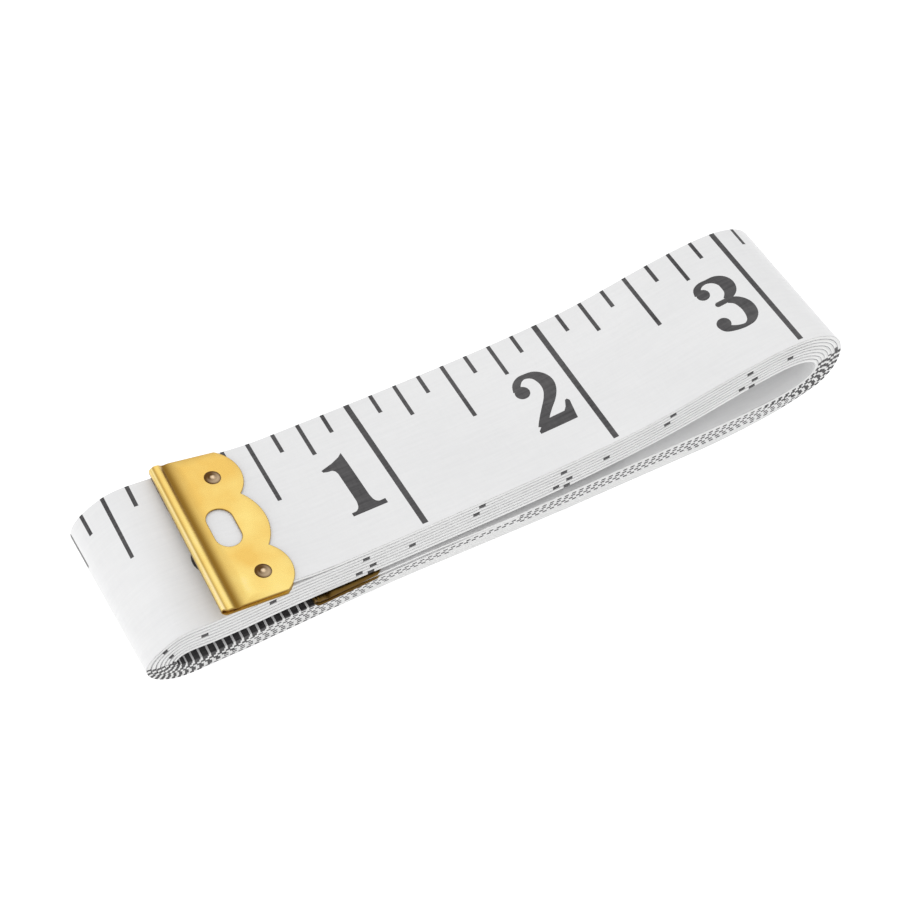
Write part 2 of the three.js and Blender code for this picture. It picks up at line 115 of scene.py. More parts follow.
def make_path():
    gaps = np.linalg.norm(np.roll(LOOPS[:, :2], -1, 0) - LOOPS[:, :2], axis=1)
    knots = np.concatenate([[0], np.cumsum(np.sqrt(gaps))])
    period, knots = knots[-1], knots[:-1]
    m, h = spline(knots, LOOPS, period)
    u = np.arange(0, period * TURNS, 0.018)
    turn = np.floor(u / period)
    t = u - turn * period
    i = np.clip(np.searchsorted(knots, t, side="right") - 1, 0, PER - 1)
    j = (i + 1) % PER
    hh = h[i][:, None]
    a, b = (knots[i] + h[i] - t)[:, None], (t - knots[i])[:, None]
    row = m[i] * a**3 / (6 * hh) + m[j] * b**3 / (6 * hh) + (LOOPS[i] / hh - m[i] * hh / 6) * a + (LOOPS[j] / hh - m[j] * hh / 6) * b
    t0, t1 = np.interp([STEP_FROM * PER, STEP_TO * PER], np.arange(PER + 1), np.append(knots, period))
    f = (turn + smooth((t - t0) / (t1 - t0))) / TURNS
    x = row[:, 0] + (row[:, 2] - row[:, 0]) * f
    z = row[:, 1] + (row[:, 3] - row[:, 1]) * f
    z = np.maximum(z, 0.0)
    k = turn + t / period
    stop = np.nonzero((k > TURNS - 0.5) & (x < INNER_TIP_X))[0][0]
    w = (INNER_TIP_X - x[stop - 1]) / (x[stop] - x[stop - 1])
    x = np.append(x[:stop], INNER_TIP_X)
    z = np.append(z[:stop], z[stop - 1] + (z[stop] - z[stop - 1]) * w)
    k = np.append(k[:stop], k[stop - 1] + (k[stop] - k[stop - 1]) * w)
    s = np.concatenate([[0], np.cumsum(np.hypot(np.diff(x), np.diff(z)))])
    # the inner tip is lifted off the layer below, and runs straight
    left = s[-1] - s
    z = z + TIP_LIFT * (1 - smooth((left - TIP_FLAT) / (LIFT_RUN - TIP_FLAT)))
    far = np.argmin(np.abs(left - TIP_FLAT))
    line = z[-1] + (x - x[-1]) * (z[far] - z[-1]) / (x[far] - x[-1])
    z = np.where(left < 24, z + (line - z) * (1 - smooth((left - TIP_FLAT) / 9.0)), z)
    # the outer tip stands up from the layer below, and the strip settles behind it
    held = int(np.argmin(np.abs(s - TIP_HELD)))
    high = z[held] + SETTLE
    line = TIP_TOP + (x - x[0]) * (high - TIP_TOP) / (x[held] - x[0])
    run = 2 * SETTLE / ((TIP_TOP - high) / s[held] - (z[held] - z[held + 40]) / (s[held + 40] - s[held]))
    z = np.where(s <= s[held], line, z + SETTLE * np.clip(1 - (s - s[held]) / run, 0, 1) ** 2)
    s = np.concatenate([[0], np.cumsum(np.hypot(np.diff(x), np.diff(z)))])
    tx, tz = np.gradient(x, s), np.gradient(z, s)
    size = np.hypot(tx, tz)
    tx, tz = tx / size, tz / size
    # the layers lie close: the strip is drawn as thick as the next one leaves room for
    row = row[: len(x)]
    room = np.abs((row[:, 3] - row[:, 1]) * tx - (row[:, 2] - row[:, 0]) * tz) / TURNS
    even = np.arange(0, s[-1], 0.25)
    thick = np.convolve(np.pad(np.interp(even, s, room), 8, mode="edge"), np.ones(17) / 17, "valid")
    thick = np.clip(np.minimum(np.interp(s, even, thick), room + 0.01) - 0.02, 0.36, 0.50)
    tips = np.maximum(1 - smooth((s - 13) / 6), 1 - smooth((s[-1] - s - 13) / 6))
    thick = thick + (THICK - thick) * tips
    return s, x + SHIFT_X, z, -tz, tx, SHIFT_Y + SKEW * k, thick


PS, PX, PZ, PNX, PNZ, PY, PT = make_path()
LENGTH = float(PS[-1])
PANGLE = np.unwrap(np.arctan2(PNX, PNZ))


def on(s, y, depth):
    """Points of the strip: s along it, y across it, depth below its outer face. Millimetres."""
    s, y, depth = np.broadcast_arrays(np.asarray(s, float), np.asarray(y, float), np.asarray(depth, float))
    nx, nz = np.interp(s, PS, PNX), np.interp(s, PS, PNZ)
    size = np.hypot(nx, nz)
    nx, nz = nx / size, nz / size
    depth = depth * np.interp(s, PS, PT) / THICK
    x, z = np.interp(s, PS, PX) - nx * depth - SHIFT_X, np.interp(s, PS, PZ) - nz * depth
    # the left bend is racked: its far side stands higher and further out, and its crown is pressed down
    wound = s > RACK_AFTER
    t, u = smooth((-27 - x) / 13) * wound, smooth((-41 - x) / 6.5) * wound
    x, z = x + (0.82 - 0.043 * y) * u, z * (1 + 0.011 * y * t - 0.10 * u)
    return np.stack([x + SHIFT_X, np.interp(s, PS, PY) + y, z], -1)


def normal_at(s):
    nx, nz = np.interp(s, PS, PNX), np.interp(s, PS, PNZ)
    size = np.hypot(nx, nz)
    return nx / size, nz / size


def surface_normal(s, y, depth):
    h = 0.05
    n = np.cross(on(s + h, y, depth) - on(s - h, y, depth), on(s, y + h, depth) - on(s, y - h, depth))
    return n / np.linalg.norm(n, axis=-1, keepdims=True)


# ------------------------------------------------------------------ numerals, in units of 1/420 of their height
def catmull(points, sub, closed=False):
    p = np.asarray(points, float)
    n = len(p)
    out = []
    for i in range(n - (0 if closed else 1)):
        a, b, c, d = (p[(i + o) % n] if closed else p[min(max(i + o, 0), n - 1)] for o in (-1, 0, 1, 2))
        for q in range(sub):
            t = q / sub
            out.append(0.5 * (2 * b + (c - a) * t + (2 * a - 5 * b + 4 * c - d) * t * t + (3 * b - a - 3 * c + d) * t**3))
    if not closed:
        out.append(p[-1])
    return np.array(out)


def ribbon(points, sub=3):
    """A pen stroke: x, y and half width along it, as a run of quads."""
    c = catmull(points, sub)
    d = np.gradient(c[:, :2], axis=0)
    d /= np.linalg.norm(d, axis=1)[:, None]
    n = np.stack([-d[:, 1], d[:, 0]], 1) * c[:, 2:3]
    left, right = c[:, :2] + n, c[:, :2] - n
    return [[left[i], left[i + 1], right[i + 1], right[i]] for i in range(len(c) - 1)]


def ball(x, y, r, n=18):
    return [[(x + r * math.cos(2 * math.pi * i / n), y + r * math.sin(2 * math.pi * i / n)) for i in range(n)]]


def bowl(x, y, rx, ry, ix, iy, n=30, shift=0.0):
    """A closed oval stroke, heavy at its sides."""
    a = [2 * math.pi * i / n for i in range(n + 1)]
    o = [(x + rx * math.cos(t), y + ry * math.sin(t)) for t in a]
    q = [(x + shift + ix * math.cos(t), y + iy * math.sin(t)) for t in a]
    return [[o[i], o[i + 1], q[i + 1], q[i]] for i in range(n)]


def turned(shapes, w=262, h=418):
    return [[(w - x, h - y) for x, y in s] for s in shapes]


def digits(sub, sides):
    """The ten figures, heavy upright strokes with ball ends; sub and sides set how finely they are drawn."""
    def pen(points, n=None):
        return ribbon(points, n or sub)

    def dot(x, y, r):
        return ball(x, y, r, sides)

    def oval(x, y, rx, ry, ix, iy):
        return bowl(x, y, rx, ry, ix, iy, 2 * sides)

    foot = max(1, sub - 1)
    six = (pen([(214, 352, 24), (190, 389, 19), (150, 404, 14), (108, 388, 24), (72, 340, 37), (50, 270, 43), (42, 200, 43), (42, 140, 42)])
           + dot(200, 338, 38) + oval(131, 132, 131, 134, 54, 104))
    return {
        "0": oval(131, 209, 131, 213, 52, 178),
        "1": [[(94, 20), (176, 20), (173, 345), (170, 424), (92, 330)],
              [(170, 424), (144, 403), (92, 380), (20, 360), (24, 344), (50, 336), (72, 334), (86, 322), (92, 300), (172, 300)],
              [(33, 0), (240, 0), (240, 33), (33, 24)],
              ] + pen([(60, 12, 12), (84, 24, 14), (100, 50, 14), (108, 90, 14)], foot) + pen([(216, 14, 14), (186, 26, 14), (168, 52, 14), (162, 90, 14)], foot),
        "2": pen([(30, 322, 24), (50, 369, 24), (85, 398, 20), (125, 402, 18), (170, 386, 28), (201, 346, 38), (211, 300, 41), (200, 250, 38),
                     (170, 200, 34), (130, 155, 30), (90, 110, 28), (56, 66, 28), (34, 34, 28)])
             + dot(53, 305, 45) + [[(2, 0), (238, 0), (260, 130), (250, 146), (236, 142), (216, 100), (195, 78), (90, 76), (56, 70), (2, 20)]],
        "3": pen([(30, 337, 22), (45, 377, 22), (80, 399, 17), (123, 400, 15), (170, 387, 28), (203, 357, 40), (214, 322, 44), (207, 282, 40), (185, 252, 30), (150, 230, 18)])
             + pen([(150, 218, 18), (190, 197, 28), (217, 157, 38), (226, 112, 41), (217, 67, 38), (190, 30, 26), (155, 14, 15), (120, 15, 15), (75, 30, 20), (40, 52, 26), (25, 77, 25)])
             + dot(55, 327, 40) + dot(42, 87, 43) + dot(90, 221, 18) + [[(90, 203), (188, 205), (188, 239), (90, 239)]],
        "4": [[(128, 24), (206, 24), (206, 424), (164, 424), (128, 350)],
              [(178, 424), (206, 424), (44, 142), (262, 142), (262, 100), (0, 100), (0, 130)],
              [(80, 0), (254, 0), (254, 30), (80, 30)]]
             + pen([(104, 14, 13), (126, 28, 13), (140, 60, 12)], foot) + pen([(232, 14, 13), (208, 28, 13), (194, 60, 12)], foot),
        "5": pen([(40, 206, 9), (72, 240, 14), (122, 258, 17), (172, 240, 31), (206, 195, 42), (214, 138, 45), (204, 84, 41), (176, 38, 28), (130, 15, 15), (88, 18, 17), (52, 40, 24), (36, 70, 24)])
             + dot(52, 84, 43) + [[(30, 200), (50, 214), (62, 424), (36, 424)],
                                   [(36, 424), (70, 412), (130, 408), (190, 414), (232, 426), (240, 420), (226, 372), (196, 344), (130, 334), (56, 350)]],
        "6": six,
        "7": pen([(240, 382, 20), (206, 300, 24), (166, 208, 32), (140, 120, 40), (130, 50, 44), (130, 0, 44)])
             + [[(16, 272), (34, 272), (52, 318), (90, 344), (150, 346), (240, 346), (264, 400), (264, 424), (30, 424)]],
        "8": oval(131, 316, 112, 106, 50, 78) + oval(131, 116, 131, 120, 58, 88),
        "9": turned(six),
    }


DIGITS = {True: digits(4, 20), False: digits(1, 7)}
ADVANCE = 276.0


def numeral(text, height, right, base, up=1, thin=1.0, fine=True):
    """Polygons in (s, y) of a number whose right side is at s = right and whose foot is at y = base."""
    k = height / 420.0
    out = []
    left = right - (ADVANCE * len(text) - (ADVANCE - 262)) * k * thin
    for i, c in enumerate(text):
        for shape in DIGITS[fine][c]:
            out.append([(left + (ADVANCE * i + x) * k * thin, base + up * y * k) for x, y in shape])
    return out


# ------------------------------------------------------------------ what is printed where
HALF = WIDTH / 2 - EDGE


def face_marks():
    """Inch scale: (centre, half width, length from the far edge, kind)."""
    out = []
    for k in range(1, int((LENGTH - 10.5 - ZERO) / (INCH / 8)) + 1):
        s = ZERO + k * INCH / 8
        if s < 8.5:
            continue
        if k % 8 == 0:
            out.append((s, 0.36 if s < 120 else 0.42, 19.45 if s < 120 else 2 * HALF, "inch"))
        elif k % 4 == 0:
            out.append((s, 0.26, 9.1 if k == 4 else 8.6, "half"))
        elif k % 2 == 0:
            out.append((s, 0.25, 4.95, "quarter"))
        else:
            out.append((s, 0.25, 2.9, "eighth"))
    return out


def back_marks():
    """Millimetre scale: (centre, half width, length from the near edge, kind)."""
    out = []
    for k in range(1, int(LENGTH - PLAIN_END - ZERO) + 1):
        s = ZERO + k
        if s < 9.5:
            continue
        heavy = 0.09 if s > LENGTH - 300 and np.interp(s, PS, PX) - SHIFT_X < -22 else 0.0
        if k % 10 == 0:
            out.append((s, 0.29 + heavy, 19.3, "cm"))
        elif k % 5 == 0:
            out.append((s, 0.28 + heavy, 4.7, "five"))
        else:
            out.append((s, 0.28 + heavy, 3.1, "mm"))
    return out


FACE_MARKS, BACK_MARKS = face_marks(), back_marks()
FACE_NUMBERS = [(n, ZERO + n * INCH) for n in range(1, 57) if ZERO + n * INCH < LENGTH - 12]
BACK_NUMBERS = [(n, ZERO + n * 10.0) for n in range(1, 150) if 12 < ZERO + n * 10.0 < LENGTH - PLAIN_END]


def tidy(values, keep, gap):
    """Sorted values; one nearer than gap to a kept value, or to the one before it, goes."""
    keep = np.unique(np.round(np.asarray(sorted(keep), float), 4))
    vals = np.unique(np.round(np.asarray(sorted(values), float), 4))
    i = np.searchsorted(keep, vals)
    d = np.minimum(np.abs(vals - keep[np.clip(i, 0, len(keep) - 1)]), np.abs(vals - keep[np.clip(i - 1, 0, len(keep) - 1)]))
    out, last = [], -1e9
    for v in vals[d >= gap]:
        if v - last >= gap:
            out.append(v)
            last = v
    return np.unique(np.concatenate([keep, np.array(out)]))


def stations():
    face_edges = [v for s, w, l, k in FACE_MARKS for v in (s - w, s + w)]
    back_left = [s - w for s, w, l, k in BACK_MARKS]
    back_right = [s + w for s, w, l, k in BACK_MARKS]
    face_bounds = [ZERO + n * INCH + INCH / 16 for n in range(1, 60) if ZERO + n * INCH + INCH / 16 < LENGTH - 3]
    back_bounds = [ZERO + n * 10 + 1.5 for n in range(1, 200) if ZERO + n * 10 + 1.5 < LENGTH - PLAIN_END]
    fixed = [STRIP_IN, LENGTH] + CUTS + face_bounds + back_bounds + face_edges
    plain = list(np.arange(LENGTH - PLAIN_END + 1, LENGTH, 1.0)) + list(np.arange(0.5, 10, 1.0))
    lines = tidy(back_left + plain, fixed, 0.10)
    extra = []
    for c in (18, 36, 54, 72):
        extra += list(np.arange(c - 6.9, c + 1.7, 0.5))
    lines = tidy(list(lines) + extra, lines, 0.16)
    # finer where the strip turns
    more = []
    turn = np.interp(lines, PS, PANGLE)
    for a, b, ta, tb in zip(lines[:-1], lines[1:], turn[:-1], turn[1:]):
        n = int(math.ceil(abs(tb - ta) / 0.08))
        n = max(n, 1)
        more += [a + (b - a) * q / n for q in range(1, n)]
    lines = np.unique(np.round(np.concatenate([lines, more]), 4))
    fe, br = np.round(face_edges, 4), np.round(back_right, 4)
    tick_only = np.setdiff1d(fe, np.round(fixed[: 2 + len(CUTS) + len(face_bounds) + len(back_bounds)], 4))
    back_lines = np.setdiff1d(lines, tick_only)
    near = np.unique(np.concatenate([lines, np.round(back_left, 4), br]))
    far = lines
    return lines, back_lines, near, far, np.round(face_bounds, 4), np.round(back_bounds, 4)


LINES, BACK_LINES, NEAR, FAR, FACE_BOUNDS, BACK_BOUNDS = stations()


def inside(values, a, b):
    return values[(values >= a - 1e-6) & (values <= b + 1e-6)]


def flat_chunk(a, b, lines, polys):
    """Triangles of the strip's flat pattern from a to b, and which are inked."""
    pts, index, edges, start = [], {}, [], a

    def put(s, y):
        key = (round(float(s) - start, 4), round(float(y), 4))
        if key not in index:
            index[key] = len(pts)
            pts.append(Vector(key))
        return index[key]

    for side, values in ((-HALF, inside(NEAR, a, b)), (HALF, inside(FAR, a, b))):
        run = [put(s, side) for s in values]
        edges += list(zip(run[:-1], run[1:]))
    for s in inside(lines, a, b):
        edges.append((put(s, -HALF), put(s, HALF)))
    faces = []
    for poly in polys:
        p = np.asarray(poly)
        area = np.sum(p[:, 0] * np.roll(p[:, 1], -1) - np.roll(p[:, 0], -1) * p[:, 1])
        ids = [put(*q) for q in (p if area > 0 else p[::-1])]
        ids = [v for i, v in enumerate(ids) if v != ids[i - 1]]
        if len(ids) > 2:
            faces.append(ids)
    v, e, f, ov, oe, of = delaunay_2d_cdt(pts, edges, faces, 0, 1e-5)
    v = np.round([(p[0], p[1]) for p in v], 4)
    tris, ink, flat = [], [], []
    for face, origin in zip(f, of):
        q = v[list(face)]
        area = (q[1, 0] - q[0, 0]) * (q[2, 1] - q[0, 1]) - (q[2, 0] - q[0, 0]) * (q[1, 1] - q[0, 1])
        if abs(area) < 1e-7:
            flat.append(tuple(face))
            continue
        tris.append(tuple(face) if area > 0 else tuple(face)[::-1])
        ink.append(len(origin) > 0)
    # a triangle without width gives its middle point to its neighbour
    for face in flat:
        q = v[list(face)]
        if np.ptp(q[:, 1]) < 1e-6 and abs(abs(q[0, 1]) - HALF) < 1e-6:
            continue
        k = int(np.argmax([np.linalg.norm(q[i] - q[(i + 1) % 3]) for i in range(3)]))
        ends, mid = {face[k], face[(k + 1) % 3]}, face[(k + 2) % 3]
        for n, t in enumerate(tris):
            if ends < set(t):
                i = next(i for i in range(3) if {t[i], t[(i + 1) % 3]} == ends)
                a, b, c = t[i], t[(i + 1) % 3], t[(i + 2) % 3]
                tris[n] = (a, mid, c)
                tris.append((mid, b, c))
                ink.append(ink[n])
                break
    # a side that passes over points of the slit edge is fanned out to them
    for edge in (-HALF, HALF):
        rim = np.nonzero(np.abs(v[:, 1] - edge) < 1e-6)[0]
        rim = rim[np.argsort(v[rim, 0])]
        rank = {int(i): n for n, i in enumerate(rim)}
        for n in range(len(tris)):
            t = tris[n]
            for i in range(3):
                a, b, c = t[i], t[(i + 1) % 3], t[(i + 2) % 3]
                if a in rank and b in rank and abs(rank[a] - rank[b]) > 1:
                    step = 1 if rank[b] > rank[a] else -1
                    run = [int(rim[j]) for j in range(rank[a], rank[b] + step, step)]
                    tris[n] = (run[0], run[1], c)
                    for x, y in zip(run[1:-1], run[2:]):
                        tris.append((x, y, c))
                        ink.append(ink[n])
                    break
    v[:, 0] = np.round(v[:, 0] + start, 4)
    return v, tris, ink


LEAN = 0.0226        # the first number and its line lean by this much


def under_inner_end():
    """Where on the strip the stretch lies that the lifted inner end covers."""
    k, x = (PY - SHIFT_Y) / SKEW, PX - SHIFT_X
    run = np.nonzero((k > TURNS - 2) & (k < TURNS - 1) & (PNZ < 0) & (x > -24) & (x < 6))[0]
    return float(PS[run[0]]), float(PS[run[-1]])


UNDER = under_inner_end()


def polys_between(marks, numbers, a, b, side):
    out = []
    for s, w, l, k in marks:
        if a < s < b:
            if side == "face":
                lean = LEAN * l if k == "inch" and s < 30 else 0.0
                foot = HALF - l if l < 2 * HALF else -HALF
                out.append([(s - w, HALF), (s - w + lean, foot), (s + w + lean, foot), (s + w, HALF)])
            else:
                # the marks stop short of the edge on the stretch that the lifted inner end lies over
                foot = -HALF + 0.8 if UNDER[0] < s < UNDER[1] else -HALF
                out.append([(s - w, foot), (s + w, foot), (s + w, -HALF + l), (s - w, -HALF + l)])
    for n, s in numbers:
        if a < s < b:
            if side == "face":
                shapes = numeral(str(n), 8.75, s - (1.42 if n == 8 else 1.86), -4.95 if n == 1 else -4.7, fine=s < 215)
                if n == 1:
                    shapes = [[(q + LEAN * (HALF - y), y) for q, y in shape] for shape in shapes]
                out += shapes
            else:
                t = str(n)
                out += numeral(t, 5.4 if len(t) < 3 else 4.1, s - 0.95, 3.0 if len(t) < 3 else 2.3, -1, 1.0 if len(t) < 3 else 0.92, fine=s < 100 or s > LENGTH - 300)
    return out


def flat_pattern():
    """The whole printed strip as flat triangles for its two sides."""
    out = {}
    for side, bounds, lines, marks, numbers in (
        ("face", FACE_BOUNDS, LINES, FACE_MARKS, FACE_NUMBERS),
        ("back", BACK_BOUNDS, BACK_LINES, BACK_MARKS, BACK_NUMBERS),
    ):
        stops = [STRIP_IN, *bounds, round(LENGTH, 4)]
        chunks = []
        for a, b in zip(stops[:-1], stops[1:]):
            chunks.append(flat_chunk(a, b, lines, polys_between(marks, numbers, a, b, side)))
        out[side] = chunks
    return out


PATTERN = flat_pattern()

# ------------------------------------------------------------------ strip pieces
ROWS = [(HALF, 0.0), (WIDTH / 2, EDGE), (WIDTH / 2 - CORE_IN, CORE_TOP), (WIDTH / 2 - CORE_IN, CORE_LOW), (WIDTH / 2, THICK - EDGE), (HALF, THICK)]
WALL_RUN = np.concatenate([[0], np.cumsum([math.hypot(b[0] - a[0], b[1] - a[1]) for a, b in zip(ROWS[:-1], ROWS[1:])])])
VINYL, INK, BACK, SLIT = 0, 1, 2, 3
WRAP_FACE = [(s - w, s + w) for s, w, l, k in FACE_MARKS if k == "inch" and l > 19.5]
FAR_INK = [(s - w, s + w) for s, w, l, k in FACE_MARKS]
NEAR_INK = [(s - w, s + w) for s, w, l, k in BACK_MARKS]


def covers(intervals, s):
    starts = np.array([i[0] for i in intervals])
    ends = np.array([i[1] for i in intervals])
    q = np.searchsorted(starts, s, side="right") - 1
    return (q >= 0) & (s < ends[np.clip(q, 0, None)])


def strip_piece(name, a, b, rows):
    keys, pts = {}, []
    faces, mats, normals, uvs, bake = [], [], [], [], []
    span = (b - a) / rows
    tall = 2 * HALF + 2 * WALL_RUN[3] + 0.8

    def vert(s, y, depth):
        key = (int(round(s * 1e4)), int(round(y * 1e4)), int(round(depth * 1e4)))
        if key not in keys:
            keys[key] = len(pts)
            pts.append((s, y, depth))
        return keys[key]

    def bake_at(s, v, mid, side, ink):
        """Place on the colour map: the strip cut into rows, inked faces apart from bare ones."""
        r = min(rows - 1, max(0, int((mid - a) / span)))
        lane = r * 2 + side
        u = (s - (a + r * span) + 2.0) / (span + 4.0)
        w = (lane + (v + tall / 2) / tall) / (2 * rows)
        return (0.004 + 0.992 * u, (0.765 + 0.23 * w) if ink else (0.004 + 0.745 * w))

    def add(ids, mat, ns, flat, side, mid):
        faces.append(ids)
        mats.append(mat)
        normals.extend(ns)
        for (s, v) in flat:
            uvs.append((s * MM, (v + side * 40.0) * MM))
            bake.append(bake_at(s, v, mid, side, mat == INK))

    for side, which in ((0, "face"), (1, "back")):
        depth = 0.0 if side == 0 else THICK
        sign = 1 if side == 0 else -1
        for v, tris, ink in PATTERN[which]:
            if v[:, 0].max() < a - 1e-6 or v[:, 0].min() > b + 1e-6:
                continue
            out = sign * surface_normal(v[:, 0], v[:, 1], depth)
            for t, dark in zip(tris, ink):
                mid = float(v[list(t), 0].mean())
                if mid < a or mid > b:
                    continue
                t = t if side == 0 else t[::-1]
                add([vert(v[i, 0], v[i, 1], depth) for i in t], INK if dark else (VINYL if side == 0 else BACK),
                    [tuple(out[i]) for i in t], [(v[i, 0], v[i, 1]) for i in t], side, mid)
    for edge, values in ((-1, inside(NEAR, a, b)), (1, inside(FAR, a, b))):
        mids = (values[:-1] + values[1:]) / 2
        out = surface_normal(values, edge * HALF, 0.0)
        nx, nz = out[:, 0], out[:, 2]
        back_ink = covers(NEAR_INK, mids) if edge < 0 else np.zeros(len(mids), bool)
        face_ink = covers(WRAP_FACE, mids) if edge < 0 else covers(FAR_INK, mids)
        # the metric ink runs over the edge on the sides that lie face up: at the bends and under the left part on
        # every turn, along the right part on the middle ones
        low = np.interp(mids, PS, PNZ) < 0.15
        turn = (np.interp(mids, PS, PY) - SHIFT_Y) / SKEW
        x = np.interp(mids, PS, PX) - SHIFT_X
        least = np.interp(x, [-26, -16, -6, 10, 27, 39], [0, 3, 4, 3, 2.4, 0])
        most = np.interp(x, [-23.5, -21.5, -6, 2, 28, 38], [8, 6, 6, 7, 7, 8])
        strong = back_ink & low & (turn > least) & (turn < most)
        weak = back_ink & low & (turn > least - 1) & (turn < most)
        full = strong & (np.abs(x) > 41.5 - 1.3 * turn)
        dash = face_ink & (edge < 0) & ~low
        for i in range(len(mids)):
            for r in range(5):
                (y0, d0), (y1, d1) = ROWS[r], ROWS[r + 1]
                mat = SLIT
                if r == 0:
                    mat = INK if face_ink[i] else VINYL
                elif r == 1:
                    mat = INK if dash[i] or full[i] else VINYL
                elif r == 2:
                    mat = INK if dash[i] or strong[i] else SLIT
                elif r == 3:
                    mat = INK if dash[i] or strong[i] else BACK
                elif r == 4:
                    mat = INK if strong[i] or weak[i] else BACK
                corners = [(i, y0, d0), (i + 1, y0, d0), (i + 1, y1, d1), (i, y1, d1)]
                if edge < 0:
                    corners = corners[::-1]
                tilt = ((d1 - d0), (y0 - y1))    # outward across, and towards the face
                size = math.hypot(*tilt)
                ns = [(nx[j] * tilt[1] / size, edge * tilt[0] / size, nz[j] * tilt[1] / size) for j, y, d in corners]
                side = 0 if r < 3 else 1
                flat = []
                for j, y, d in corners:
                    q = WALL_RUN[[x[1] for x in ROWS].index(d)]
                    away = q if side == 0 else WALL_RUN[-1] - q
                    flat.append((values[j], edge * (HALF + away)))
                add([vert(values[j], edge * y, d) for j, y, d in corners], mat, ns, flat, side, mids[i])
    for s, sign in ((a, -1), (b, 1)):
        s = round(float(s), 4)
        loop = [(-y, d) for y, d in ROWS][::-1] + [(y, d) for y, d in ROWS]
        nx, nz = normal_at(s)
        n = (sign * nz, 0.0, -sign * nx)
        ids = [vert(s, y, d) for y, d in loop]
        flat = [(s, y) for y, d in loop]
        if sign < 0:
            ids, flat = ids[::-1], flat[::-1]
        add(ids[::-1], SLIT, [n] * len(ids), flat[::-1], 0, s - sign * 0.01)
    p = np.array(pts)
    co = on(p[:, 0], p[:, 1], p[:, 2]) * MM
    mesh = bpy.data.meshes.new(name)
    mesh.from_pydata([tuple(c) for c in co], [], faces)
    mesh.polygons.foreach_set("material_index", np.array(mats, np.int32))
    mesh.polygons.foreach_set("use_smooth", np.ones(len(faces), bool))
    layer = mesh.uv_layers.new(name="strip")
    layer.data.foreach_set("uv", np.array(uvs, np.float32).ravel())
    layer = mesh.uv_layers.new(name="OFBake")
    layer.data.foreach_set("uv", np.array(bake, np.float32).ravel())
    mesh.uv_layers.active = mesh.uv_layers["strip"]
    mesh.update()
    mesh.set_sharp_from_angle(angle=math.radians(25))
    mesh.normals_split_custom_set(normals)
    obj = bpy.data.objects.new(name, mesh)
    bpy.context.scene.collection.objects.link(obj)
    return obj


# ------------------------------------------------------------------ brass tips
def profile():
    """Section of a folded tip, outer and inner surface side by side: a along the strip, n off its upper face."""
    rows = [(2.45, .29, 2.45, .04), (2.15, .285, 2.15, .04), (1.9, .245, 1.9, .04), (1.68, .17, 1.68, .03), (1.47, .12, 1.47, .015), (1.28, .15, 1.28, .03),
            (1.1, .26, 1.1, .04), (.92, .385, .92, .05), (.74, .435, .74, .06), (.56, .43, .56, .06), (.38, .385, .38, .06), (.24, .335, .24, .06),
            (.16, .32, .16, .06), (.08, .335, .08, .06), (-.02, .365, -.02, .06), (-.12, .35, -.10, .05), (-.22, .27, -.15, 0), (-.29, .12, -.19, -.07),
            (-.31, -.10, -.21, -.15), (-.29, -.35, -.19, -.25), (-.22, -.52, -.15, -.33), (-.10, -.61, -.06, -.385), (.05, -.65, .08, -.40), (.3, -.65, .3, -.40)]
    c = catmull(rows, 3)
    c = np.concatenate([[[9.7, .29, 9.7, .04], [6, .29, 6, .04], [3.3, .29, 3.3, .04]], c, [[1.0, -.65, 1.0, -.40], [4, -.65, 4, -.40], [9.7, -.65, 9.7, -.40]]])
    run = np.concatenate([[0], np.cumsum(np.hypot(np.diff(c[:, 0]), np.diff(c[:, 1])))])
    return run, c


PRO_D, PRO_C = profile()
PRO_END = float(PRO_D[-1])


def arc(p, q, r, steps):
    (ax, ay), (bx, by), (cx, cy) = p, q, r
    d = 2 * (ax * (by - cy) + bx * (cy - ay) + cx * (ay - by))
    ux = ((ax**2 + ay**2) * (by - cy) + (bx**2 + by**2) * (cy - ay) + (cx**2 + cy**2) * (ay - by)) / d
    uy = ((ax**2 + ay**2) * (cx - bx) + (bx**2 + by**2) * (ax - cx) + (cx**2 + cy**2) * (bx - ax)) / d
    rad = math.hypot(ax - ux, ay - uy)
    a0, am, a1 = (math.atan2(y - uy, x - ux) for x, y in (p, q, r))
    turn = 2 * math.pi
    a1 = a0 + (a1 - a0) % turn if (am - a0) % turn < (a1 - a0) % turn else a0 - (a0 - a1) % turn
    return [(ux + rad * math.cos(a0 + (a1 - a0) * i / steps), uy + rad * math.sin(a0 + (a1 - a0) * i / steps)) for i in range(steps + 1)]


def tip_outline():
    """Free edge of a plate from the near to the far side: a, y."""
    w = 10.45
    return (arc((7.6, -w), (9.43, -7.05), (8.06, -3.95), 16) + arc((8.06, -3.95), (9.45, 0), (8.06, 3.95), 16)[1:]
            + arc((8.06, 3.95), (9.43, 7.05), (7.6, w + FAR_OUT), 16)[1:])


def tip_half(a):
    """Half the width of a tip, a little more at its fold than at its plate's end."""
    return 10.75 - 0.30 * min(1.0, max(0.0, (a + 0.31) / 7.91)) - 0.30 * float(smooth((0.42 - a) / 0.73))


def inset(loop, b):
    p = np.asarray(loop, float)
    d0, d1 = p - np.roll(p, 1, 0), np.roll(p, -1, 0) - p
    d0 /= np.linalg.norm(d0, axis=1)[:, None]
    d1 /= np.linalg.norm(d1, axis=1)[:, None]
    n = np.stack([-(d0 + d1)[:, 1], (d0 + d1)[:, 0]], 1)
    n /= np.linalg.norm(n, axis=1)[:, None]
    c = np.clip(np.sum(n * np.stack([-d0[:, 1], d0[:, 0]], 1), 1), 0.5, 1)
    return p + n * (b / c)[:, None]


def signed(loop):
    p = np.asarray(loop)
    return 0.5 * float(np.sum(p[:, 0] * np.roll(p[:, 1], -1) - np.roll(p[:, 0], -1) * p[:, 1]))


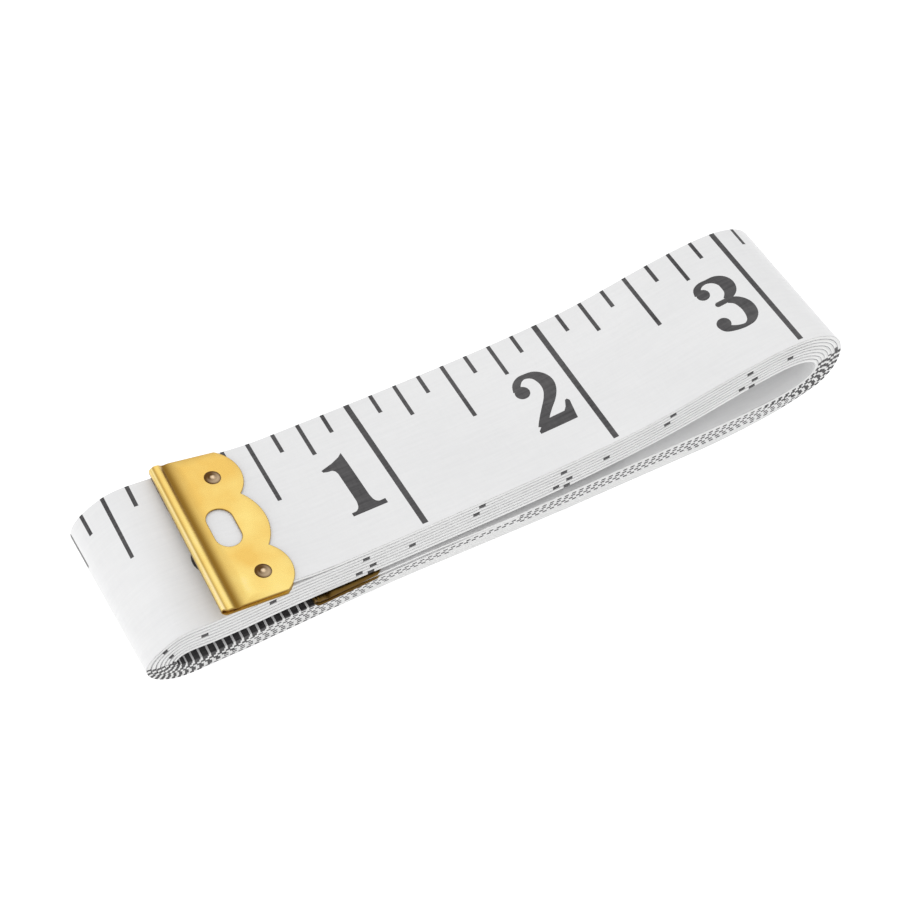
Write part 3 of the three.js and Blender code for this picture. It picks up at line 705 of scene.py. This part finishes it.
def within(poly, x, y):
    p = np.asarray(poly)
    a, b = p, np.roll(p, -1, 0)
    cross = ((a[:, 1] > y) != (b[:, 1] > y)) & (x < (b[:, 0] - a[:, 0]) * (y - a[:, 1]) / (b[:, 1] - a[:, 1] + 1e-30) + a[:, 0])
    return bool(np.count_nonzero(cross) % 2)


def tip_piece(name, origin, along, up, mid_y, slide, aside, twist, shade_level):
    edge = tip_outline()
    stops = [float(d) for d in PRO_D if 6.95 < d < PRO_END - 8.6]
    wide = [tip_half(float(np.interp(d, PRO_D, PRO_C[:, 0]))) for d in stops]
    outer = [(9.7 - a, y) for a, y in edge]                      # near to far along the upper free edge
    outer += [(d, w + FAR_OUT) for d, w in zip(stops, wide)]
    outer += [(PRO_END - (9.7 - a), y) for a, y in edge[::-1]]
    outer += [(d, -w) for d, w in zip(stops[::-1], wide[::-1])]
    count, rows = len(outer), len(stops)
    pairs = [(len(edge) + i, count - 1 - i) for i in range(rows)]
    if signed(outer) < 0:
        outer = outer[::-1]
        pairs = [(count - 1 - i, count - 1 - j) for i, j in pairs]
    holes = []
    for flip in (False, True):
        r, h = 1.55, 1.225
        slot = [(4.37 + r * math.cos(t), h + r * math.sin(t)) for t in np.linspace(0, math.pi, 17)]
        slot += [(4.37 - r * math.cos(t), -h - r * math.sin(t)) for t in np.linspace(0, math.pi, 17)]
        rings = [[(RIVET_A + 0.63 * math.cos(t), y + 0.63 * math.sin(t)) for t in np.linspace(0, 2 * math.pi, 25)[:-1]] for y in (-RIVET_Y, RIVET_Y)]
        for loop in [slot] + rings:
            q = [((PRO_END - (9.7 - a)) if flip else (9.7 - a), y) for a, y in loop]
            holes.append(q if signed(q) < 0 else q[::-1])
    loops = [outer] + holes
    shrunk = [inset(q, 0.10) for q in loops]
    pts, index, edges = [], {}, []

    def put(p):
        key = (round(float(p[0]), 5), round(float(p[1]), 5))
        if key not in index:
            index[key] = len(pts)
            pts.append(Vector(key))
        return index[key]

    ring_ids = []
    for q in shrunk:
        ids = [put(p) for p in q]
        ring_ids.append(ids)
        edges += list(zip(ids, ids[1:] + ids[:1]))
    edges += [(ring_ids[0][i], ring_ids[0][j]) for i, j in pairs]
    # a light net over the flat plates
    for sign in (0, 1):
        for a in np.arange(3.4, 9.0, 0.8):
            for y in np.arange(-9.6, 9.61, 0.8):
                d = PRO_END - (9.7 - a) if sign else 9.7 - a
                if within(shrunk[0], d, y) and not any(within(h, d, y) for h in holes):
                    if min(np.min(np.hypot(np.asarray(q)[:, 0] - d, np.asarray(q)[:, 1] - y)) for q in shrunk) > 0.3:
                        put((d, y))
    v, e, f, ov, oe, of = delaunay_2d_cdt(pts, edges, [], 0, 1e-6)
    v = np.array([(p[0], p[1]) for p in v])
    where = {(round(float(p[0]), 5), round(float(p[1]), 5)): i for i, p in enumerate(v)}
    rank = {where[(round(float(pts[i][0]), 5), round(float(pts[i][1]), 5))]: n for n, i in enumerate(ring_ids[0])}
    tris = []
    for t in f:
        c = v[list(t)].mean(0)
        # a thin triangle between neighbours of the free edge lies outside it when it turns the wrong way
        if all(i in rank for i in t) and signed(v[sorted(t, key=rank.get)]) <= 0:
            continue
        if within(shrunk[0], *c) and not any(within(q, *c) for q in shrunk[1:]):
            q = v[list(t)]
            area = (q[1, 0] - q[0, 0]) * (q[2, 1] - q[0, 1]) - (q[2, 0] - q[0, 0]) * (q[1, 1] - q[0, 1])
            if abs(area) > 1e-9:
                tris.append(tuple(t) if area > 0 else tuple(t)[::-1])

    def place(d, y, share):
        o = np.array([np.interp(d, PRO_D, PRO_C[:, i]) for i in range(4)])
        a, n = o[0] + (o[2] - o[0]) * share, o[1] + (o[3] - o[1]) * share
        a, y = a + twist * y + slide, y - twist * a + aside
        return np.stack([origin[0] + along[0] * a + up[0] * n, mid_y + y, origin[1] + along[1] * a + up[1] * n], -1)

    co, faces, uvs, rim = [], [], [], []

    def emit(dy, share, dark=0.0):
        start = len(co)
        dy = np.asarray(dy)
        rim.extend([dark] * len(dy))
        co.extend(place(dy[:, 0], dy[:, 1], np.full(len(dy), share)))
        uvs.extend((d, y) for d, y in dy)
        return start

    top = emit(v, 0.0)
    low = emit(v, 1.0)
    # d runs from the upper free edge back to the fold, so the upper face is wound the other way
    for t in tris:
        faces.append([top + i for i in t[::-1]])
        faces.append([low + i for i in t])
    for q, ids in zip(loops, ring_ids):
        # painted shade and painted reflection: the edge walls of the free edge, the slot and the rivet holes are
        # painted dark
        m1 = emit(q, 0.25, 0.90)
        m2 = emit(q, 0.75, 1.0)
        inner = [where[(round(float(pts[i][0]), 5), round(float(pts[i][1]), 5))] for i in ids]
        n = len(ids)
        for i in range(n):
            j = (i + 1) % n
            for ra, rb in (([top + x for x in inner], [m1 + x for x in range(n)]),
                           ([m1 + x for x in range(n)], [m2 + x for x in range(n)]),
                           ([m2 + x for x in range(n)], [low + x for x in inner])):
                faces.append([ra[i], ra[j], rb[j], rb[i]])
    mesh = bpy.data.meshes.new(name)
    mesh.from_pydata([tuple(np.asarray(c) * MM) for c in co], [], faces)
    mesh.polygons.foreach_set("use_smooth", np.ones(len(faces), bool))
    layer = mesh.uv_layers.new(name="sheet")
    flat = np.array([uvs[l.vertex_index] for l in mesh.loops], np.float32) * MM
    layer.data.foreach_set("uv", flat.ravel())
    # painted shade: how far a point lies down in the pressed valley or the crease by the fold, where the sheet is
    # painted dark, and painted light: how far it lies to the near side, which is painted lighter
    a = np.array([np.interp(d, PRO_D, PRO_C[:, 0]) for d, y in uvs])
    d = np.array([q[0] for q in uvs])
    # painted shade and painted reflection in the pressed valley and the crease by the fold: a, then the share of the
    # dark colour
    valley_shade = np.array([(-.31, .30), (-.18, .06), (-.02, 0), (.08, .32), (.16, .56), (.24, .38), (.36, .08), (.5, 0), (.7, 0), (.9, .22), (1.08, .66), (1.25, .93),
                        (1.45, 1.0), (1.65, .92), (1.9, .68), (2.15, .43), (2.45, .22), (2.8, .08), (3.3, 0)])
    # painted shade: the lower plate, under the upper one, gets a fixed share of the dark colour, the inner tip its
    # raised shade level, the edge walls their dark rim
    painted_shade = np.where(d > PRO_END / 2, 0.70, np.interp(a, valley_shade[:, 0], valley_shade[:, 1]))
    painted_shade = np.maximum(np.maximum(painted_shade, np.where(d > PRO_END / 2, 0.5 * shade_level, shade_level)), np.array(rim))
    mesh.attributes.new("hollow", "FLOAT", "POINT").data.foreach_set("value", painted_shade.astype(np.float32))
    y = np.array([q[1] for q in uvs])
    # painted light: the plate is painted lighter toward the near side and toward its end
    near = (0.5 - y / 21.5) * 0.60 + np.clip((a - 2.5) / 7.0, 0, 1) * 0.25
    # painted highlights and painted shade in soft patches: brighter by the near side and past the slot, duller between
    # the slot and the near rivet
    for at, across, wide, long, much in ((3.2, -8.3, 1.0, 2.2, 0.55), (7.4, 0.6, 1.3, 2.6, 0.30), (6.9, -9.0, 1.6, 1.6, 0.35),
                                         (5.0, -4.9, 1.3, 1.5, -0.75), (7.6, 8.2, 1.2, 1.6, -0.35), (2.9, 5.5, 0.9, 4.0, -0.30)):
        near = near + much * np.exp(-((a - at) / wide) ** 2 - ((y - across) / long) ** 2)
    # painted highlight along the rims of the fold, on the upper plate only
    pale = np.interp(a, [-.31, -.15, -.02, .10, .20, .45, .65, .85, 1.1], [.5, 1.2, 1.5, .9, 0, .5, .75, .5, 0])
    near = near + np.where(d < PRO_END / 2, pale, 0.0)
    mesh.attributes.new("painted_light", "FLOAT", "POINT").data.foreach_set("value", near.astype(np.float32))
    mesh.update()
    mesh.set_sharp_from_angle(angle=math.radians(33))
    obj = bpy.data.objects.new(name, mesh)
    bpy.context.scene.collection.objects.link(obj)
    return obj


def rivet_piece(name, origin, along, up, mid_y, y, slide, aside, twist):
    """A rivet: low round head with a cross-marked middle, and its clenched foot."""
    rows = [(0.0, .425), (.10, .424), (.20, .418), (.30, .409), (.40, .398), (.50, .388), (.60, .378), (.70, .366), (.79, .350), (.87, .330), (.94, .307),
            (.98, .294), (.60, .292), (.60, -.651), (.82, -.652), (.86, -.672), (.80, -.705), (.66, -.715), (.48, -.70), (.30, -.675), (.0, -.668)]
    steps = 48
    co, faces, ids, deep = [], [], [], []
    for r, n in rows:
        ring = []
        for i in range(1 if r == 0 else steps):
            t = 2 * math.pi * i / steps + 0.4
            a, b = r * math.cos(t), r * math.sin(t)
            h = n
            if n > 0.15 and r < 0.5:
                cut = max(math.exp(-(a / 0.055) ** 2), math.exp(-(b / 0.055) ** 2)) * (1 - smooth((r - 0.30) / 0.16))
                h -= 0.045 * float(cut)
            a, b = RIVET_A + a + twist * (y + b) + slide, y + b - twist * (RIVET_A + a) + aside
            p = (origin[0] + along[0] * a + up[0] * h, mid_y + b, origin[1] + along[1] * a + up[1] * h)
            ring.append(len(co))
            co.append(tuple(np.array(p) * MM))
            # painted shade and painted highlight on the rivet: a dark ring, darker on the side turned away from the
            # light, a light middle, a darker edge; the foot gets a fixed painted shade
            turned_away = 0.84 + 0.26 * math.cos(t - 2.2)
            deep.append(float(np.clip(smooth((r - .10) / .26) * turned_away - 0.10 * math.exp(-((r - .62) / .10) ** 2) + 0.3 * smooth((r - .78) / .14), 0, 1)) if n > 0 else 0.4)
        ids.append(ring)
    for p, q in zip(ids[:-1], ids[1:]):
        for i in range(steps):
            j = (i + 1) % steps
            if len(p) == 1:
                faces.append([p[0], q[i], q[j]])
            elif len(q) == 1:
                faces.append([p[j], p[i], q[0]])
            else:
                faces.append([p[i], q[i], q[j], p[j]])
    mesh = bpy.data.meshes.new(name)
    mesh.from_pydata(co, [], faces)
    mesh.polygons.foreach_set("use_smooth", np.ones(len(faces), bool))
    mesh.attributes.new("hollow", "FLOAT", "POINT").data.foreach_set("value", np.array(deep, np.float32))
    mesh.update()
    mesh.set_sharp_from_angle(angle=math.radians(60))
    obj = bpy.data.objects.new(name, mesh)
    bpy.context.scene.collection.objects.link(obj)
    return obj


# ------------------------------------------------------------------ materials
def material(name):
    m = bpy.data.materials.new(name)
    m.use_nodes = True
    t = m.node_tree
    for n in list(t.nodes):
        t.nodes.remove(n)
    out = t.nodes.new("ShaderNodeOutputMaterial")
    p = t.nodes.new("ShaderNodeBsdfPrincipled")
    t.links.new(p.outputs[0], out.inputs["Surface"])
    return m, t, p


def node(t, kind, **inputs):
    n = t.nodes.new(kind)
    for k, v in inputs.items():
        n.inputs[k.replace("_", " ")].default_value = v
    return n


def ramp(t, source, stops):
    r = t.nodes.new("ShaderNodeValToRGB")
    while len(r.color_ramp.elements) < len(stops):
        r.color_ramp.elements.new(0.5)
    for e, (at, c) in zip(r.color_ramp.elements, stops):
        e.position = at
        e.color = (*c, 1.0)
    t.links.new(source, r.inputs[0])
    return r.outputs[0]


def yarn_coords(t, sx, sy, offset=0.0):
    uv = t.nodes.new("ShaderNodeUVMap")
    uv.uv_map = "strip"
    m = node(t, "ShaderNodeMapping")
    m.inputs["Scale"].default_value = (sx, sy, 1.0)
    m.inputs["Location"].default_value = (offset, offset * 0.7, 0.0)
    t.links.new(uv.outputs[0], m.inputs[0])
    return m.outputs[0]


def math_node(t, op, a, b=None):
    n = t.nodes.new("ShaderNodeMath")
    n.operation = op
    for i, v in enumerate((a, b)):
        if v is None:
            continue
        if isinstance(v, (int, float)):
            n.inputs[i].default_value = v
        else:
            t.links.new(v, n.inputs[i])
    return n.outputs[0]


def strip_surface(name, light, dark, rough, strength, ink=False):
    """Vinyl over lengthwise glass yarn: faint threads along the strip, fainter ones across, a little tone and gloss change."""
    m, t, p = material(name)
    threads = node(t, "ShaderNodeTexNoise", Scale=1.0, Detail=3.0, Roughness=0.6)
    t.links.new(yarn_coords(t, 240.0, 2600.0), threads.inputs["Vector"])
    across = node(t, "ShaderNodeTexNoise", Scale=1.0, Detail=2.0, Roughness=0.5)
    t.links.new(yarn_coords(t, 2300.0, 420.0, 3.0), across.inputs["Vector"])
    cloud = node(t, "ShaderNodeTexNoise", Scale=1.0, Detail=3.0, Roughness=0.55)
    t.links.new(yarn_coords(t, 55.0, 90.0, 7.0), cloud.inputs["Vector"])
    weave = math_node(t, "ADD", math_node(t, "MULTIPLY", threads.outputs[0], 0.7), math_node(t, "MULTIPLY", across.outputs[0], 0.3))
    tone = math_node(t, "ADD", math_node(t, "MULTIPLY", weave, 0.55), math_node(t, "MULTIPLY", cloud.outputs[0], 0.45))
    t.links.new(ramp(t, tone, [(0.32, dark), (0.66, light)]), p.inputs["Base Color"])
    gloss = t.nodes.new("ShaderNodeMapRange")
    gloss.inputs["From Min"].default_value, gloss.inputs["From Max"].default_value = 0.3, 0.7
    gloss.inputs["To Min"].default_value, gloss.inputs["To Max"].default_value = rough - 0.05, rough + 0.07
    t.links.new(cloud.outputs[0], gloss.inputs["Value"])
    t.links.new(gloss.outputs[0], p.inputs["Roughness"])
    bump = node(t, "ShaderNodeBump", Strength=strength, Distance=0.00004)
    t.links.new(weave, bump.inputs["Height"])
    t.links.new(bump.outputs[0], p.inputs["Normal"])
    p.inputs["Specular IOR Level"].default_value = 0.45
    return m


VINYL_FACE = strip_surface("vinyl_face", (0.794, 0.794, 0.797), (0.732, 0.733, 0.738), 0.40, 0.55)
VINYL_BACK = strip_surface("vinyl_back", (0.794, 0.794, 0.796), (0.732, 0.733, 0.736), 0.42, 0.55)
PRINT = strip_surface("print_ink", (0.094, 0.091, 0.093), (0.009, 0.008, 0.010), 0.42, 0.5)
SLIT_EDGE = strip_surface("slit_edge", (0.79, 0.79, 0.775), (0.64, 0.645, 0.62), 0.6, 0.8)


def brass(name, pale, near, far, deep, rough, bump_strength):
    """Stamped brass sheet: rolled grain, random tone, painted light (a lighter near side and painted highlights) and
    painted shade where the press left a valley.
    """
    m, t, p = material(name)
    place = t.nodes.new("ShaderNodeTexCoord")
    grain_at = node(t, "ShaderNodeMapping")
    grain_at.inputs["Scale"].default_value = (900.0, 6000.0, 900.0)
    t.links.new(place.outputs["Object"], grain_at.inputs[0])
    grain = node(t, "ShaderNodeTexNoise", Scale=1.0, Detail=3.0, Roughness=0.6)
    t.links.new(grain_at.outputs[0], grain.inputs["Vector"])
    cloud = node(t, "ShaderNodeTexNoise", Scale=300.0, Detail=2.0, Roughness=0.5)
    t.links.new(place.outputs["Object"], cloud.inputs["Vector"])
    hollow = t.nodes.new("ShaderNodeAttribute")
    hollow.attribute_name = "hollow"
    painted_light = t.nodes.new("ShaderNodeAttribute")
    painted_light.attribute_name = "painted_light"
    # painted light: the attribute of painted lighter near side and highlights, plus a random cloud tone, picks among
    # the far, near and pale colours
    drift = math_node(t, "ADD", painted_light.outputs["Fac"], math_node(t, "MULTIPLY", math_node(t, "SUBTRACT", cloud.outputs[0], 0.5), 1.3))
    tone = ramp(t, math_node(t, "MULTIPLY", drift, 0.4), [(0.02, far), (0.38, near), (0.80, pale)])
    # painted shade: the hollow attribute mixes in the dark colour
    mix = t.nodes.new("ShaderNodeMix")
    mix.data_type = "RGBA"
    mix.blend_type = "MIX"
    t.links.new(hollow.outputs["Fac"], mix.inputs[0])
    t.links.new(tone, mix.inputs[6])
    mix.inputs[7].default_value = (*deep, 1.0)
    t.links.new(mix.outputs[2], p.inputs["Base Color"])
    gloss = t.nodes.new("ShaderNodeMapRange")
    gloss.inputs["From Min"].default_value, gloss.inputs["From Max"].default_value = 0.3, 0.7
    gloss.inputs["To Min"].default_value, gloss.inputs["To Max"].default_value = rough - 0.06, rough + 0.08
    t.links.new(grain.outputs[0], gloss.inputs["Value"])
    t.links.new(gloss.outputs[0], p.inputs["Roughness"])
    bump = node(t, "ShaderNodeBump", Strength=bump_strength, Distance=0.00002)
    t.links.new(grain.outputs[0], bump.inputs["Height"])
    t.links.new(bump.outputs[0], p.inputs["Normal"])
    p.inputs["Metallic"].default_value = 1.0
    return m


# each brass: pale is the painted highlight colour, near and far the painted lighter and darker tones, deep the painted
# shade colour
BRASS = brass("brass_sheet", (0.98, 0.80, 0.45), (0.97, 0.745, 0.245), (0.885, 0.575, 0.145), (0.25, 0.130, 0.018), 0.28, 0.045)
# painted shade: a darker copy of the brass for the inner tip, which lies in shade inside the roll
BRASS_SHADED = brass("brass_sheet_shaded", (0.80, 0.60, 0.28), (0.70, 0.47, 0.13), (0.55, 0.34, 0.085), (0.085, 0.042, 0.008), 0.34, 0.045)
RIVET = brass("brass_rivet", (0.92, 0.76, 0.58), (0.92, 0.75, 0.56), (0.88, 0.68, 0.46), (0.105, 0.050, 0.013), 0.24, 0.06)

# ------------------------------------------------------------------ build the pieces
STRIPS = [
    ("tape_end", STRIP_IN, CUTS[0], ["end_face", "end_core", "end_back"], ("length_3", "tip_end"), 1),
    ("tape_length_3", CUTS[0], CUTS[1], ["length_3_face", "length_3_core", "length_3_back"], ("length_2", "length_3"), 1),
    ("tape_length_2", CUTS[1], CUTS[2], ["length_2_face", "length_2_core", "length_2_back"], ("length_1", "length_2"), 1),
    ("tape_length_1", CUTS[2], CUTS[3], ["length_1_face", "length_1_core", "length_1_back"], ("roll", "length_1"), 1),
    ("tape_roll", CUTS[3], round(LENGTH, 4), ["roll_face", "roll_core", "roll_back"], None, 6),
]
PIVOT = {j["child"]: j["pos_m"] for j in frame["joints"]}
for name, a, b, nodes, bend, rows in STRIPS:
    obj = strip_piece(name, a, b, rows)
    for m in (VINYL_FACE, PRINT, VINYL_BACK, SLIT_EDGE):
        obj.data.materials.append(m)
    if bend:
        low, high = bend
        px, pz = PIVOT[high][0] / MM, PIVOT[high][2] / MM
        s = float(PS[np.argmin(np.hypot(PX - px, PZ - pz) + 1e3 * (PS > 100))])
        # points on the lifted side of the bending line are found here but not used further
        p, q = on(s + 0.9, 0, 0)[[0, 2]], on(s - 6.2, 0, 0)[[0, 2]]
        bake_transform(obj)
    else:
        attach(obj, "roll")
    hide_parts(*nodes)


def tip_frame(end):
    if end == "outer":
        p, q = on(0.0, 0, 0), on(TIP_HELD - 0.5, 0, 0)
        y = (p[1] + q[1]) / 2
    else:
        p, q = on(LENGTH, 0, THICK), on(LENGTH - TIP_FLAT, 0, THICK)
        y = (p[1] + q[1]) / 2
    d = np.array([q[0] - p[0], q[2] - p[2]])
    d /= np.linalg.norm(d)
    n = np.array([-d[1], d[0]])
    return (p[0], p[2]), d, n if n[1] > 0 else -n, y


for end, body in (("outer", "tip_end"), ("inner", "roll")):
    origin, along, up, y = tip_frame(end)
    # the inner tip is painted in shade: a raised shade level on top of its darker brass
    slide, aside, twist, shade_level = (TIP_ALONG, TIP_ASIDE, TIP_TURN, 0.0) if end == "outer" else (0.0, INNER_ASIDE, 0.0, 0.88)
    tip = tip_piece(f"{end}_brass_tip", origin, along, up, y, slide, aside, twist, shade_level)
    tip.data.materials.append(BRASS if end == "outer" else BRASS_SHADED)
    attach(tip, body)
    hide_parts(f"{end}_tip")
    for label, at in (("near", -RIVET_Y), ("far", RIVET_Y)):
        r = rivet_piece(f"{end}_brass_rivet_{label}", origin, along, up, y, at, slide, aside, twist)
        r.data.materials.append(RIVET)
        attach(r, body)
        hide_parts(f"{end}_rivet_{label}")

# ------------------------------------------------------------------ floor, light, camera
scene = bpy.context.scene
mesh = bpy.data.meshes.new("floor")
mesh.from_pydata([(-3, -3, -0.00003), (3, -3, -0.00003), (3, 3, -0.00003), (-3, 3, -0.00003)], [], [(0, 1, 2, 3)])
floor = bpy.data.objects.new("floor", mesh)
scene.collection.objects.link(floor)
m, t, p = material("floor_paper")
cloud = node(t, "ShaderNodeTexNoise", Scale=30.0, Detail=2.0)
t.links.new(ramp(t, cloud.outputs[0], [(0.3, (0.50, 0.50, 0.50)), (0.7, (0.52, 0.52, 0.52))]), p.inputs["Base Color"])
p.inputs["Roughness"].default_value = 0.9
p.inputs["Specular IOR Level"].default_value = 0.1
p.inputs["Emission Color"].default_value = (1.0, 1.0, 1.0, 1.0)
p.inputs["Emission Strength"].default_value = 0.72
floor.data.materials.append(m)

world = bpy.data.worlds.new("studio")
scene.world = world
world.use_nodes = True
t = world.node_tree
bg = t.nodes["Background"]
way = t.nodes.new("ShaderNodeTexCoord")
split = t.nodes.new("ShaderNodeSeparateXYZ")
t.links.new(way.outputs["Generated"], split.inputs[0])
t.links.new(ramp(t, split.outputs["Z"], [(0.0, (0.62, 0.62, 0.62)), (0.38, (0.94, 0.94, 0.94)), (1.0, (1.0, 1.0, 1.0))]), bg.inputs["Color"])
bg.inputs["Strength"].default_value = 1.06


def softbox(name, place, aim, size, power):
    l = bpy.data.lights.new(name, "AREA")
    l.shape = "RECTANGLE"
    l.size, l.size_y = size
    l.energy = power
    o = bpy.data.objects.new(name, l)
    scene.collection.objects.link(o)
    o.location = place
    o.rotation_euler = (Vector(aim) - Vector(place)).to_track_quat("-Z", "Y").to_euler()
    return o


softbox("side", (-0.75, -0.15, 0.30), (0, 0, 0), (0.6, 0.4), 0.7)

cam_data = bpy.data.cameras.new("camera")
cam = bpy.data.objects.new("camera", cam_data)
scene.collection.objects.link(cam)
cam_data.sensor_width = 36.0
cam_data.lens = 1894.99 / 900 * 36.0
cam_data.clip_start, cam_data.clip_end = 0.005, 20
az, el, roll = math.radians(-28.601), math.radians(52.152), math.radians(0.579)
back = Vector((math.sin(az) * math.cos(el), -math.cos(az) * math.cos(el), math.sin(el)))
right = Vector((math.cos(az), math.sin(az), 0))
up = back.cross(right)
cx = math.cos(roll) * right + math.sin(roll) * up
cy = -math.sin(roll) * right + math.cos(roll) * up
cam.matrix_world = Matrix(((cx[0], cy[0], back[0], -0.067540), (cx[1], cy[1], back[1], -0.119299), (cx[2], cy[2], back[2], 0.181341), (0, 0, 0, 1)))
scene.camera = cam
scene.view_settings.view_transform = "Standard"
scene.view_settings.look = "None"

bpy.context.view_layer.update()
